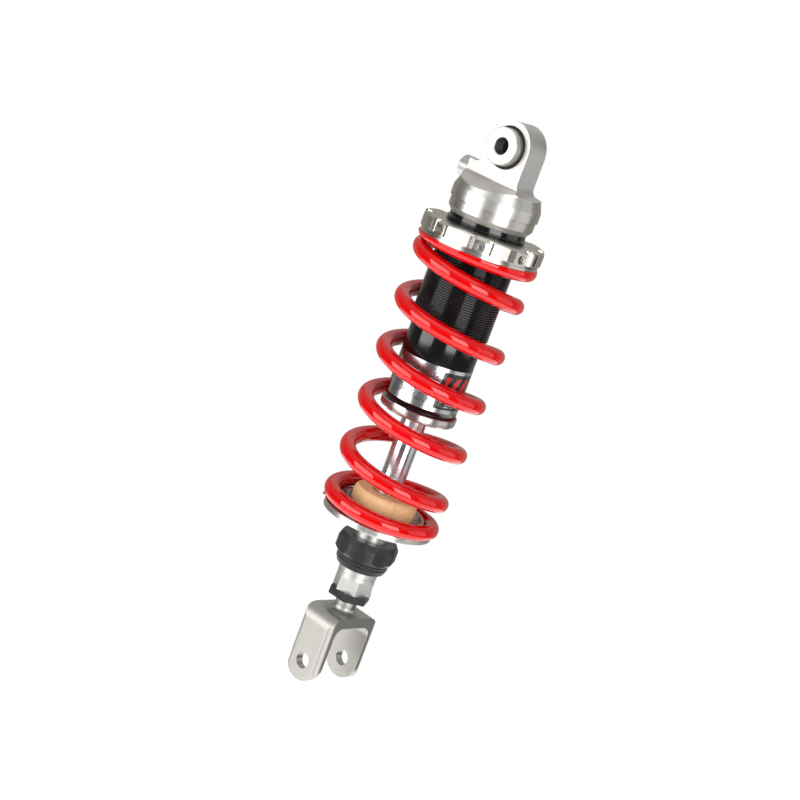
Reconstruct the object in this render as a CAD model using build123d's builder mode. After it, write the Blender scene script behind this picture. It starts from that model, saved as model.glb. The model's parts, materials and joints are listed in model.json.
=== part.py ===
"""Motorcycle rear shock absorber: coil spring over a gas damper, in millimetres.

+Z runs up the damper towards the upper eye, +Y runs along the upper eye's bolt, and the
origin is the centre of that bolt bore.  Every height below is measured from there.
"""
import os
from math import cos, pi, radians, sin, sqrt

from build123d import *

os.makedirs("parts", exist_ok=True)

# ------------------------------------------------------------------ driving sizes
BOLT_BORE_R = 5.1            # bores for the 10 mm frame and linkage bolts
EYE_TO_EYE = 341.5           # bolt centre to bolt centre, spring seated, fully extended
STROKE = 52.0                # travel until the foam bump stop meets the gland

THREAD_R = 25.0              # M50 x 1.5 thread crest
THREAD_PITCH = 1.5
THREAD_DEPTH = 0.9
TUBE_R = THREAD_R - 2.0      # plain part of the tube
TUBE_BORE_R = TUBE_R - 3.0   # damper bore, 40 mm piston
ROD_R = 8.0                  # 16 mm chromed rod
SPRING_ID = 56.8
WIRE_D = 10.0
COLLAR_R = SPRING_ID / 2 + WIRE_D       # over the lugs of the preload collar
SEAT_R = SPRING_ID / 2 + 0.7 * WIRE_D
EYE_R = 16.5
EYE_HALF = 8.4               # half the thickness of the eye
SPACER_END = 14.7            # half the length across the two eye spacers
CLEVIS_W = 43.0              # over both ears
EAR_T = 5.8
EAR_W = 26.0
STUD_R = 8.0                 # M16 x 1.5 stud of the clevis

# ------------------------------------------------------------------ named clearances
RUN = 0.04                   # radial running clearance of shafts in their bores
BEARING_GAP = 0.05           # radial clearance of threads and sliding bands
FREE = 0.35                  # radial air gap between parts that move past each other
PLAY = 0.1                   # end play of rings and bushes in their grooves

# ------------------------------------------------------------------ heights of the upper group
CAP_BOTTOM = -46.3
CAP_SHOULDER = -30.6
CAP_GROOVE = -37.4
THREAD_TOP = CAP_BOTTOM - 1.2
THREAD_END = -117.0
COLLAR_TOP = CAP_BOTTOM - 5.3
COLLAR_BOTTOM = COLLAR_TOP - 10.0
RING_BOTTOM = COLLAR_BOTTOM - 1.7       # the spring's upper end rests here
FLOAT_TOP = -65.0            # dividing piston at full extension
FLOAT_H = 9.0
CAP_SPIGOT = CAP_BOTTOM - 8.7
VALVE_Z = -21.0              # height of the gas valve boss

# ------------------------------------------------------------------ heights of the lower group
CLEVIS_HOLE = -EYE_TO_EYE
CLEVIS_TOP = CLEVIS_HOLE + 35.0
NUT_BOTTOM = CLEVIS_TOP + 8.9
NUT_H = 5.1
ROD_END_BOTTOM = NUT_BOTTOM + NUT_H
INDEX_BOTTOM = ROD_END_BOTTOM + 16.3
KNOB_BOTTOM = INDEX_BOTTOM + 7.0
HUB_BOTTOM = KNOB_BOTTOM + 13.2
SEAT_BOTTOM = HUB_BOTTOM + 11.2
SEAT_TOP = SEAT_BOTTOM + 4.3            # the spring's lower end rests here
WASHER_TOP = SEAT_TOP - 0.2
BUMP_TOP = WASHER_TOP + 16.1
GLAND_BOTTOM = BUMP_TOP + STROKE + 0.7
TUBE_BOTTOM = GLAND_BOTTOM + 5.6
HEAD_TOP = TUBE_BOTTOM + 16.0
PISTON_BOTTOM = HEAD_TOP + 6.8
PISTON_TOP = PISTON_BOTTOM + 14.0
FRONT_AZ = -51.8             # direction the adjuster marks and set screw face, degrees


def disc(z0, z1, r, mode=Mode.ADD):
    """Cylinder on the damper axis between two heights."""
    with Locations((0, 0, (z0 + z1) / 2)):
        Cylinder(r, abs(z1 - z0), mode=mode)


def taper(z_low, z_high, r_low, r_high, mode=Mode.ADD):
    """Cone on the damper axis, radii given at its lower and upper ends."""
    with Locations((0, 0, (z_low + z_high) / 2)):
        Cone(r_low, r_high, z_high - z_low, mode=mode)


def ring(z0, z1, r_out, r_in):
    """Plain ring on the damper axis between two heights."""
    disc(z0, z1, r_out)
    disc(z0, z1, r_in, Mode.SUBTRACT)


def cross_disc(y0, y1, r, mode=Mode.ADD):
    """Cylinder on the upper bolt axis between two Y positions."""
    with Locations((0, (y0 + y1) / 2, 0)):
        Cylinder(r, abs(y1 - y0), rotation=(90, 0, 0), mode=mode)


def polar(r, angle, z):
    return (r * cos(radians(angle)), r * sin(radians(angle)), z)


def save(part, name):
    part.label = name
    export_step(part, "parts/" + name + ".step")


# ================================================================== upper bolt sleeve
SLEEVE_HALF = 6.5
SLEEVE_R = BOLT_BORE_R + 2.4

with BuildPart() as upper_sleeve:
    cross_disc(-SLEEVE_HALF, SLEEVE_HALF, SLEEVE_R)
    cross_disc(-SLEEVE_HALF, SLEEVE_HALF, BOLT_BORE_R, Mode.SUBTRACT)
save(upper_sleeve.part, "upper_sleeve")

SPACER_R = 11.5
for side, name in ((-1, "upper_spacer_front"), (1, "upper_spacer_rear")):
    with BuildPart() as spacer:
        cross_disc(side * SLEEVE_HALF, side * SPACER_END, SPACER_R)
        cross_disc(side * SLEEVE_HALF, side * SPACER_END, BOLT_BORE_R, Mode.SUBTRACT)
        outer_face = spacer.faces().sort_by(Axis.Y)[0 if side < 0 else -1]
        chamfer(outer_face.edges(), 0.45)
    save(spacer.part, name)

# ================================================================== end cap with the eye
BEARING_R = SPACER_R - 0.5
SEAL_R = SPACER_R + 1.7
SEAL_FLOOR = 6.15
BLOCK_X = -28.3              # end of the valve block
BLOCK_TOP = -14.3
BLOCK_FOOT = -35.0           # the outlines run down into the turned bands
WIDE = 32.0                  # outlines reach past the largest radius
ROOT_Z = -20.6               # start of the fillet at the eye's root
SLOPE_Z = -22.3              # start of the sloping shoulder
SLOPE_EDGE_Z = -28.7
SHOULDER = -23.0
CROWN_R = 25.3               # top edge of the cone above the bands
CROWN_TOP = -24.5
BAND_R = 27.7
LOWER_BAND_R = 26.7
CAP_LIP_R = THREAD_R - 1.0
CAP_HOLLOW_R = TUBE_BORE_R - 5.0
CAP_HOLLOW_TOP = -35.5
ORING_W = 2.2                # width of the damper's O-rings
ORING_T = 1.6                # and their thickness, squeezed
CAP_SEAL_TOP = CAP_BOTTOM - 3.8
CAP_SEAL_FLOOR = TUBE_BORE_R - ORING_T
VALVE_R = 4.0
VALVE_LENGTH = 8.0
BOSS_R = VALVE_R + 3.0
GAS_WAY_R = 1.3              # drilling from the gas valve down to the gas space

with BuildPart() as end_cap:
    taper(CAP_SHOULDER, CROWN_TOP, BAND_R, CROWN_R)
    disc(CROWN_TOP, 18.0, CROWN_R)
    # outline seen along the bolt: eye, shoulder on one side, valve block on the other
    with BuildSketch(Plane.XZ):
        with BuildLine():
            Line((-EYE_R, BLOCK_TOP + 1.4), (-EYE_R, 0))
            ThreePointArc((-EYE_R, 0), (0, EYE_R), (EYE_R, 0))
            Line((EYE_R, 0), (EYE_R, -17.4))
            ThreePointArc((EYE_R, -17.4), (EYE_R + 1.5, -21.1), (EYE_R + 4.6, SHOULDER))
            Polyline((EYE_R + 4.6, SHOULDER), (CROWN_R + 0.7, CROWN_TOP), (WIDE, CROWN_TOP),
                     (WIDE, BLOCK_FOOT), (-WIDE, BLOCK_FOOT), (-WIDE, BLOCK_TOP),
                     (BLOCK_X + 9, BLOCK_TOP))
            ThreePointArc((BLOCK_X + 9, BLOCK_TOP), (BLOCK_X + 10.9, BLOCK_TOP + 0.4),
                          (-EYE_R, BLOCK_TOP + 1.4))
        make_face()
    extrude(amount=WIDE, both=True, mode=Mode.INTERSECT)
    # profile seen from the end: flat sides, small root fillet, then a sloping shoulder
    with BuildSketch(Plane.YZ):
        with BuildLine() as half_outline:
            Line((0, EYE_R + 2), (EYE_HALF, EYE_R + 2))
            Line((EYE_HALF, EYE_R + 2), (EYE_HALF, ROOT_Z))
            ThreePointArc((EYE_HALF, ROOT_Z), (EYE_HALF + 0.5, ROOT_Z - 1.1), (EYE_HALF + 1.8, SLOPE_Z))
            Polyline((EYE_HALF + 1.8, SLOPE_Z), (WIDE, SLOPE_EDGE_Z), (WIDE, BLOCK_FOOT), (0, BLOCK_FOOT))
            mirror(about=Plane.YZ)
        make_face()
    extrude(amount=WIDE + 8, both=True, mode=Mode.INTERSECT)
    # boss of the gas valve, pointing away from the eye
    with Locations((BLOCK_X + 2.3, 0, VALVE_Z)):
        Cylinder(BOSS_R, 12.0, rotation=(0, 90, 0))
    # turned bands with a witness groove between them, lip, and spigot with its seal groove
    with BuildSketch(Plane.XZ):
        with BuildLine():
            Polyline((0, CAP_SHOULDER), (BAND_R, CAP_SHOULDER), (BAND_R, CAP_GROOVE + 0.4),
                     (LOWER_BAND_R - 0.5, CAP_GROOVE + 0.4), (LOWER_BAND_R - 0.5, CAP_GROOVE - 0.4),
                     (LOWER_BAND_R, CAP_GROOVE - 0.4), (LOWER_BAND_R, CAP_BOTTOM + 3.4),
                     (CAP_LIP_R, CAP_BOTTOM), (TUBE_BORE_R, CAP_BOTTOM),
                     (TUBE_BORE_R, CAP_SEAL_TOP + PLAY), (CAP_SEAL_FLOOR, CAP_SEAL_TOP + PLAY),
                     (CAP_SEAL_FLOOR, CAP_SEAL_TOP - ORING_W - PLAY),
                     (TUBE_BORE_R, CAP_SEAL_TOP - ORING_W - PLAY), (TUBE_BORE_R, CAP_SPIGOT),
                     (0, CAP_SPIGOT), close=True)
        make_face()
    revolve(axis=Axis.Z)
    # gas space and the drillings that fill it
    disc(CAP_SPIGOT, CAP_HOLLOW_TOP, CAP_HOLLOW_R, Mode.SUBTRACT)
    disc(CAP_HOLLOW_TOP - 0.5, VALVE_Z, GAS_WAY_R, Mode.SUBTRACT)
    with Locations((BLOCK_X + 17.3, 0, VALVE_Z)):
        Cylinder(GAS_WAY_R + 0.3, 29.0, rotation=(0, 90, 0), mode=Mode.SUBTRACT)
    with Locations((BLOCK_X, 0, VALVE_Z)):
        Cylinder(VALVE_R, VALVE_LENGTH + 1.0, rotation=(0, 90, 0), mode=Mode.SUBTRACT)
    # eye bore with a seal recess at each side
    cross_disc(-12, 12, BEARING_R, Mode.SUBTRACT)
    cross_disc(SEAL_FLOOR, 12, SEAL_R, Mode.SUBTRACT)
    cross_disc(-12, -SEAL_FLOOR, SEAL_R, Mode.SUBTRACT)
save(end_cap.part, "end_cap")

with BuildPart() as end_cap_oring:
    ring(CAP_SEAL_TOP, CAP_SEAL_TOP - ORING_W, TUBE_BORE_R, CAP_SEAL_FLOOR)
save(end_cap_oring.part, "end_cap_oring")

with BuildPart() as eye_bearing:
    cross_disc(-SEAL_FLOOR + 0.05, SEAL_FLOOR - 0.05, BEARING_R)
    cross_disc(-SEAL_FLOOR, SEAL_FLOOR, SLEEVE_R + RUN, Mode.SUBTRACT)
save(eye_bearing.part, "eye_bearing")

for side, name in ((-1, "eye_seal_front"), (1, "eye_seal_rear")):
    with BuildPart() as seal:
        cross_disc(side * SEAL_FLOOR, side * (EYE_HALF - 0.3), SEAL_R)
        cross_disc(side * 5, side * 10, SPACER_R + BEARING_GAP, Mode.SUBTRACT)
    save(seal.part, name)

VALVE_HEAD_T = 1.4
VALVE_FACE = BLOCK_X + 0.3 - VALVE_LENGTH / 2 - VALVE_HEAD_T
with BuildPart() as gas_valve:
    with Locations((BLOCK_X + 0.3, 0, VALVE_Z)):
        Cylinder(VALVE_R, VALVE_LENGTH, rotation=(0, 90, 0))
    with Locations((VALVE_FACE + VALVE_HEAD_T / 2, 0, VALVE_Z)):
        Cylinder(VALVE_R + 1.4, VALVE_HEAD_T, rotation=(0, 90, 0))
    with BuildSketch(Plane.YZ.offset(VALVE_FACE)):
        with Locations((0, VALVE_Z)):
            RegularPolygon(2.3, 6)
    extrude(amount=3.4, mode=Mode.SUBTRACT)
save(gas_valve.part, "gas_valve")

# ================================================================== damper tube
with BuildPart() as damper_tube:
    with BuildSketch(Plane.XZ):
        with BuildLine():
            points = [(TUBE_BORE_R, CAP_BOTTOM), (CAP_LIP_R - 0.1, CAP_BOTTOM)]
            root = THREAD_R - THREAD_DEPTH
            points.append((root, THREAD_TOP))
            turns = int((THREAD_TOP - THREAD_END) / THREAD_PITCH)
            for turn in range(turns):
                z = THREAD_TOP - turn * THREAD_PITCH
                points += [(root, z - 0.15), (THREAD_R, z - 0.6), (THREAD_R, z - 0.9),
                           (root, z - 1.35)]
            thread_low = THREAD_TOP - turns * THREAD_PITCH
            points += [(root, thread_low), (TUBE_R, thread_low - 1.0), (TUBE_R, TUBE_BOTTOM + 0.4),
                       (TUBE_R - 0.4, TUBE_BOTTOM), (TUBE_BORE_R, TUBE_BOTTOM)]
            Polyline(*points, close=True)
        make_face()
    revolve(axis=Axis.Z)
save(damper_tube.part, "damper_tube")

LABEL_BOTTOM = TUBE_BOTTOM + 3.9
LABEL_TOP = LABEL_BOTTOM + 27.8
LABEL_T = 0.12
LABEL_ARC = 250.0
LABEL_AZ = FRONT_AZ - 69.0
with BuildPart() as tube_label:
    with BuildSketch(Plane.XZ):
        with Locations((TUBE_R + LABEL_T / 2, (LABEL_TOP + LABEL_BOTTOM) / 2)):
            Rectangle(LABEL_T, LABEL_TOP - LABEL_BOTTOM)
    revolve(axis=Axis.Z, revolution_arc=LABEL_ARC)
save(tube_label.part.rotate(Axis.Z, LABEL_AZ), "tube_label")

# ================================================================== gland at the tube's end
HEAD_R = TUBE_BORE_R - 0.02
HEAD_FOOT = TUBE_BOTTOM - 2.5           # the head stands on the end ring's floor
HEAD_SEAL_TOP = HEAD_TOP - 4.6
HEAD_SEAL_FLOOR = HEAD_R - ORING_T
BUSH_R = ROD_R + 1.6
BUSH_TOP = HEAD_TOP - 0.8
BUSH_BOTTOM = BUSH_TOP - 9.2
ROD_SEAL_R = ROD_R + 4.0
ROD_SEAL_TOP = BUSH_BOTTOM - 0.7
ROD_SEAL_BOTTOM = ROD_SEAL_TOP - 5.0
ROD_WAY_R = ROD_R + FREE
with BuildPart() as seal_head:
    with BuildSketch(Plane.XZ):
        with BuildLine():
            Polyline((ROD_WAY_R, HEAD_TOP), (HEAD_R, HEAD_TOP), (HEAD_R, HEAD_SEAL_TOP + PLAY),
                     (HEAD_SEAL_FLOOR, HEAD_SEAL_TOP + PLAY),
                     (HEAD_SEAL_FLOOR, HEAD_SEAL_TOP - ORING_W - PLAY),
                     (HEAD_R, HEAD_SEAL_TOP - ORING_W - PLAY), (HEAD_R, HEAD_FOOT),
                     (ROD_WAY_R, HEAD_FOOT), (ROD_WAY_R, ROD_SEAL_BOTTOM - PLAY),
                     (ROD_SEAL_R, ROD_SEAL_BOTTOM - PLAY), (ROD_SEAL_R, ROD_SEAL_TOP + PLAY),
                     (ROD_WAY_R, ROD_SEAL_TOP + PLAY), (ROD_WAY_R, BUSH_BOTTOM - PLAY),
                     (BUSH_R, BUSH_BOTTOM - PLAY), (BUSH_R, BUSH_TOP + PLAY),
                     (ROD_WAY_R, BUSH_TOP + PLAY), close=True)
        make_face()
    revolve(axis=Axis.Z)
save(seal_head.part, "seal_head")

with BuildPart() as head_oring:
    ring(HEAD_SEAL_TOP, HEAD_SEAL_TOP - ORING_W, TUBE_BORE_R, HEAD_SEAL_FLOOR)
save(head_oring.part, "head_oring")

with BuildPart() as rod_bush:
    ring(BUSH_TOP, BUSH_BOTTOM, BUSH_R, ROD_R + RUN)
save(rod_bush.part, "rod_bush")

with BuildPart() as rod_seal:
    ring(ROD_SEAL_TOP, ROD_SEAL_BOTTOM, ROD_SEAL_R, ROD_R + BEARING_GAP)
    # hollow behind the lip
    disc(ROD_SEAL_TOP - 2.4, ROD_SEAL_BOTTOM, ROD_R + 1.2, Mode.SUBTRACT)
save(rod_seal.part, "rod_seal")

GLAND_R = TUBE_R + 1.3
WIPER_R = ROD_R + 3.5
WIPER_H = 1.8
NOTCH_AZ = FRONT_AZ - 30.0
with BuildPart() as end_ring:
    with BuildSketch(Plane.XZ):
        with BuildLine():
            Polyline((TUBE_BORE_R, TUBE_BOTTOM), (GLAND_R - 0.5, TUBE_BOTTOM),
                     (GLAND_R, TUBE_BOTTOM - 0.5), (GLAND_R, TUBE_BOTTOM - 3.0),
                     (GLAND_R - 0.5, TUBE_BOTTOM - 3.3), (GLAND_R - 0.5, TUBE_BOTTOM - 3.7),
                     (GLAND_R - 0.1, TUBE_BOTTOM - 4.0), (GLAND_R - 0.2, TUBE_BOTTOM - 4.7),
                     (GLAND_R - 1.1, GLAND_BOTTOM), (ROD_WAY_R, GLAND_BOTTOM),
                     (ROD_WAY_R, HEAD_FOOT - WIPER_H - 2 * PLAY),
                     (WIPER_R, HEAD_FOOT - WIPER_H - 2 * PLAY), (WIPER_R, HEAD_FOOT),
                     (TUBE_BORE_R, HEAD_FOOT), close=True)
        make_face()
    revolve(axis=Axis.Z)
    # spanner notch in the upper edge
    with Locations(Location(polar(GLAND_R, NOTCH_AZ, TUBE_BOTTOM - 0.6), (0, 0, NOTCH_AZ))):
        Box(3.0, 9.5, 1.6, mode=Mode.SUBTRACT)
save(end_ring.part, "end_ring")

with BuildPart() as rod_wiper:
    ring(HEAD_FOOT - PLAY, HEAD_FOOT - PLAY - WIPER_H, WIPER_R, ROD_R + BEARING_GAP)
save(rod_wiper.part, "rod_wiper")

# ================================================================== dividing piston
FLOAT_R = TUBE_BORE_R - BEARING_GAP
FLOAT_CUP_R = TUBE_BORE_R - 6.0
FLOAT_CUP_FLOOR = FLOAT_TOP - 5.0
FLOAT_SEAL_TOP = FLOAT_TOP - 3.5
FLOAT_SEAL_FLOOR = FLOAT_R - ORING_T
with BuildPart() as floating_piston:
    with BuildSketch(Plane.XZ):
        with BuildLine():
            Polyline((FLOAT_CUP_R, FLOAT_TOP), (FLOAT_R, FLOAT_TOP), (FLOAT_R, FLOAT_SEAL_TOP + PLAY),
                     (FLOAT_SEAL_FLOOR, FLOAT_SEAL_TOP + PLAY),
                     (FLOAT_SEAL_FLOOR, FLOAT_SEAL_TOP - ORING_W - PLAY),
                     (FLOAT_R, FLOAT_SEAL_TOP - ORING_W - PLAY), (FLOAT_R, FLOAT_TOP - FLOAT_H),
                     (0, FLOAT_TOP - FLOAT_H), (0, FLOAT_CUP_FLOOR),
                     (FLOAT_CUP_R, FLOAT_CUP_FLOOR), close=True)
        make_face()
    revolve(axis=Axis.Z)
save(floating_piston.part, "floating_piston")

with BuildPart() as floating_oring:
    ring(FLOAT_SEAL_TOP, FLOAT_SEAL_TOP - ORING_W, TUBE_BORE_R - RUN, FLOAT_SEAL_FLOOR)
save(floating_oring.part, "floating_oring")

# ================================================================== piston on the rod
SPIGOT_R = ROD_R - 3.0
NEEDLE_R = 2.4
PISTON_R = TUBE_BORE_R - 0.4
BAND_TOP = PISTON_TOP - 2.6
BAND_BOTTOM = PISTON_BOTTOM + 2.6
BAND_FLOOR = TUBE_BORE_R - 1.5
PORT_R = 2.0
PORT_CIRCLE = (SPIGOT_R + BAND_FLOOR) / 2
with BuildPart() as piston:
    with BuildSketch(Plane.XZ):
        with BuildLine():
            Polyline((SPIGOT_R, PISTON_TOP), (PISTON_R, PISTON_TOP), (PISTON_R, BAND_TOP + PLAY),
                     (BAND_FLOOR, BAND_TOP + PLAY), (BAND_FLOOR, BAND_BOTTOM - PLAY),
                     (PISTON_R, BAND_BOTTOM - PLAY), (PISTON_R, PISTON_BOTTOM),
                     (SPIGOT_R, PISTON_BOTTOM), close=True)
        make_face()
    revolve(axis=Axis.Z)
    with PolarLocations(PORT_CIRCLE, 6):
        with Locations((0, 0, (PISTON_TOP + PISTON_BOTTOM) / 2)):
            Cylinder(PORT_R, PISTON_TOP - PISTON_BOTTOM + 2, mode=Mode.SUBTRACT)
save(piston.part, "piston")

with BuildPart() as piston_band:
    ring(BAND_TOP, BAND_BOTTOM, TUBE_BORE_R - RUN, BAND_FLOOR)
save(piston_band.part, "piston_band")

SHIM_T = 0.4
SHIM_RADII = [TUBE_BORE_R - step for step in (4.0, 5.0, 6.5, 8.5, 10.5)]
STACK_H = SHIM_T * len(SHIM_RADII)
for base, way, name in ((PISTON_TOP, 1, "compression_shims"), (PISTON_BOTTOM, -1, "rebound_shims")):
    with BuildPart() as shims:
        for place, shim_r in enumerate(SHIM_RADII):
            low = base + way * SHIM_T * place
            disc(low, low + way * SHIM_T, shim_r)
        disc(base, base + way * STACK_H, SPIGOT_R, Mode.SUBTRACT)
    save(shims.part, name)

ROD_SHOULDER = PISTON_BOTTOM - STACK_H - 0.8
SPACER_OUT_R = ROD_R + 3.0
with BuildPart() as top_out_spacer:
    disc(PISTON_BOTTOM - STACK_H, HEAD_TOP + 0.6, SPACER_OUT_R)
    disc(PISTON_BOTTOM, ROD_SHOULDER, SPIGOT_R, Mode.SUBTRACT)
    disc(ROD_SHOULDER, HEAD_TOP, ROD_R, Mode.SUBTRACT)
save(top_out_spacer.part, "top_out_spacer")

NUT_SEAT = PISTON_TOP + STACK_H
PISTON_NUT_H = 7.0
PISTON_NUT_AF = 2 * SPIGOT_R + 7.0
with BuildPart() as piston_nut:
    with BuildSketch(Plane.XY.offset(NUT_SEAT)):
        RegularPolygon(PISTON_NUT_AF / sqrt(3), 6)
    extrude(amount=PISTON_NUT_H)
    disc(NUT_SEAT, NUT_SEAT + PISTON_NUT_H, SPIGOT_R, Mode.SUBTRACT)
save(piston_nut.part, "piston_nut")

ROD_TOP = NUT_SEAT + PISTON_NUT_H + 0.5
ROD_SEAT = WASHER_TOP - 1.8
ROD_TAIL = ROD_SEAT - 19.5
ROD_THREAD_R = ROD_R - 2.0
with BuildPart() as piston_rod:
    disc(ROD_TOP, ROD_SHOULDER, SPIGOT_R)
    disc(ROD_SHOULDER, ROD_SEAT, ROD_R)
    disc(ROD_SEAT, ROD_TAIL, ROD_THREAD_R)
    disc(ROD_TOP, ROD_TAIL, NEEDLE_R + BEARING_GAP, Mode.SUBTRACT)
save(piston_rod.part, "piston_rod")

PIN_R = 1.3
PIN_Z = ROD_TAIL - 3.8
NEEDLE_TIP = ROD_TOP - 1.0
NEEDLE_SHOULDER = NEEDLE_TIP - 3.0
NEEDLE_FOOT = PIN_Z - 0.2
with BuildPart() as rebound_needle:
    disc(NEEDLE_SHOULDER, NEEDLE_FOOT, NEEDLE_R)
    taper(NEEDLE_SHOULDER, NEEDLE_TIP, NEEDLE_R, 0.6)
    taper(NEEDLE_FOOT - 2.0, NEEDLE_FOOT, 0.8, NEEDLE_R)
save(rebound_needle.part, "rebound_needle")

# ================================================================== rod end
ROD_END_BODY_R = ROD_R + 2.9
SPIGOT_SEAT_R = ROD_R + 2.0
SPIGOT_SEAT_TOP = WASHER_TOP - 0.3
HEX_AF = 22.0
FLANGE_R = ROD_END_BODY_R + 1.6
FLANGE_BOTTOM = INDEX_BOTTOM - 3.8
HEX_TOP = FLANGE_BOTTOM - 3.2
CORNER_AZ = FRONT_AZ + 15.8
STUD_HOLE_TOP = INDEX_BOTTOM + 6.2
PIN_SLOT_H = 5.8
with BuildPart() as rod_end:
    with BuildSketch(Plane.XZ):
        with BuildLine():
            Polyline((0, SPIGOT_SEAT_TOP), (SPIGOT_SEAT_R, SPIGOT_SEAT_TOP), (SPIGOT_SEAT_R, SEAT_BOTTOM),
                     (ROD_END_BODY_R, SEAT_BOTTOM), (ROD_END_BODY_R, INDEX_BOTTOM),
                     (FLANGE_R, INDEX_BOTTOM), (FLANGE_R, FLANGE_BOTTOM),
                     (FLANGE_R - 0.6, FLANGE_BOTTOM), (FLANGE_R - 0.6, FLANGE_BOTTOM - 0.5),
                     (FLANGE_R - 0.2, FLANGE_BOTTOM - 0.5), (FLANGE_R - 0.2, HEX_TOP), (0, HEX_TOP),
                     close=True)
        make_face()
    revolve(axis=Axis.Z)
    with BuildSketch(Plane.XY.offset(HEX_TOP)):
        RegularPolygon(HEX_AF / sqrt(3), 6, rotation=CORNER_AZ)
    extrude(amount=ROD_END_BOTTOM - HEX_TOP)
    disc(SPIGOT_SEAT_TOP, ROD_SEAT, ROD_R, Mode.SUBTRACT)
    disc(ROD_SEAT, STUD_HOLE_TOP, ROD_THREAD_R, Mode.SUBTRACT)
    disc(STUD_HOLE_TOP, ROD_END_BOTTOM, STUD_R + BEARING_GAP, Mode.SUBTRACT)
    # slot in which the adjuster's cross pin slides up and down
    with Locations((0, 0, PIN_Z - 0.4)):
        Box(2 * ROD_END_BODY_R + 2, 2 * PIN_R + 0.1, PIN_SLOT_H, mode=Mode.SUBTRACT)
save(rod_end.part, "rod_end")

NUT_AF = HEX_AF + 2.0
NUT_BEVEL = 3.0              # how far the bevel runs in from the flats, at the nut's lower face
with BuildPart() as lock_nut:
    with BuildSketch(Plane.XY.offset(NUT_BOTTOM)):
        RegularPolygon(NUT_AF / sqrt(3), 6, rotation=FRONT_AZ - 8.3)
    extrude(amount=NUT_H)
    taper(NUT_BOTTOM - 4.9, NUT_BOTTOM + 5.1, NUT_AF / 2 - NUT_BEVEL, NUT_AF / 2 - NUT_BEVEL + 10.0,
          Mode.INTERSECT)
    disc(ROD_END_BOTTOM, NUT_BOTTOM, STUD_R + BEARING_GAP, Mode.SUBTRACT)
save(lock_nut.part, "lock_nut")

# ================================================================== rebound adjuster
KNOB_R = 19.7
KNOB_TOP_R = KNOB_R - 2.3    # at the top of its long bevel
KNOB_BEVEL = 3.6
KNOB_HOLLOW_R = KNOB_R - 5.3
KNOB_HOLLOW_TOP = PIN_Z + 3.2
FLUTES = 8
FLUTE_AZ = FRONT_AZ - 8.5
FLUTE_R = 24.0
FLUTE_FLOOR = KNOB_R - 1.8   # nearest the axis that a flute comes
with BuildPart() as rebound_knob:
    with BuildSketch(Plane.XZ):
        with BuildLine():
            Polyline((ROD_END_BODY_R + BEARING_GAP, HUB_BOTTOM), (KNOB_TOP_R, HUB_BOTTOM),
                     (KNOB_R, HUB_BOTTOM - KNOB_BEVEL), (KNOB_R, KNOB_BOTTOM + 2.6),
                     (KNOB_TOP_R, KNOB_BOTTOM), (KNOB_HOLLOW_R, KNOB_BOTTOM),
                     (KNOB_HOLLOW_R, KNOB_HOLLOW_TOP),
                     (ROD_END_BODY_R + BEARING_GAP, KNOB_HOLLOW_TOP), close=True)
        make_face()
    revolve(axis=Axis.Z)
    # wide hand flutes that meet in narrow ridges
    with PolarLocations(FLUTE_FLOOR + FLUTE_R, FLUTES, start_angle=FLUTE_AZ):
        with Locations((0, 0, (HUB_BOTTOM + KNOB_BOTTOM) / 2)):
            Cylinder(FLUTE_R, HUB_BOTTOM - KNOB_BOTTOM + 1, mode=Mode.SUBTRACT)
save(rebound_knob.part, "rebound_knob")

with BuildPart() as adjuster_pin:
    with Locations((0, 0, PIN_Z)):
        Cylinder(PIN_R, 2 * KNOB_HOLLOW_R - 1.4, rotation=(0, 90, 0))
        Cylinder(NEEDLE_R, 8.0, mode=Mode.SUBTRACT)
save(adjuster_pin.part, "adjuster_pin")

INDEX_R = KNOB_TOP_R - 0.4
INDEX_TOP = KNOB_BOTTOM - 0.3
with BuildPart() as index_ring:
    with BuildSketch(Plane.XZ):
        with BuildLine():
            Polyline((ROD_END_BODY_R, INDEX_TOP), (INDEX_R, INDEX_TOP), (INDEX_R, INDEX_TOP - 0.9),
                     (INDEX_R - 0.4, INDEX_TOP - 2.1), (INDEX_R - 0.4, INDEX_TOP - 2.6),
                     (INDEX_R - 0.2, INDEX_TOP - 3.0), (INDEX_R - 1.4, INDEX_BOTTOM + 0.6),
                     (INDEX_R - 2.0, INDEX_BOTTOM), (ROD_END_BODY_R, INDEX_BOTTOM), close=True)
        make_face()
    revolve(axis=Axis.Z)
save(index_ring.part, "index_ring")

# ================================================================== lower spring seat
REGISTER_R = SPRING_ID / 2 - 0.4        # locates the spring's inside
REGISTER_TOP = SEAT_TOP + 6.1
CUP_R = REGISTER_R - 2.8
WASHER_T = 1.5
CUP_FLOOR = WASHER_TOP - WASHER_T
SEAT_BORE_R = SPIGOT_SEAT_R + BEARING_GAP
with BuildPart() as lower_spring_seat:
    with BuildSketch(Plane.XZ):
        with BuildLine():
            Polyline((SEAT_BORE_R, SEAT_BOTTOM), (SEAT_R - 0.7, SEAT_BOTTOM), (SEAT_R, SEAT_BOTTOM + 0.7),
                     (SEAT_R, SEAT_TOP - 0.5), (SEAT_R - 0.5, SEAT_TOP), (REGISTER_R, SEAT_TOP),
                     (REGISTER_R, REGISTER_TOP - 0.8), (REGISTER_R - 0.9, REGISTER_TOP),
                     (CUP_R + 0.4, REGISTER_TOP), (CUP_R, REGISTER_TOP - 0.6), (CUP_R, CUP_FLOOR),
                     (SEAT_BORE_R, CUP_FLOOR), close=True)
        make_face()
    revolve(axis=Axis.Z)
save(lower_spring_seat.part, "lower_spring_seat")

with BuildPart() as bump_washer:
    ring(WASHER_TOP, CUP_FLOOR, CUP_R - 3.2, SPIGOT_SEAT_R + FREE)
save(bump_washer.part, "bump_washer")

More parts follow.
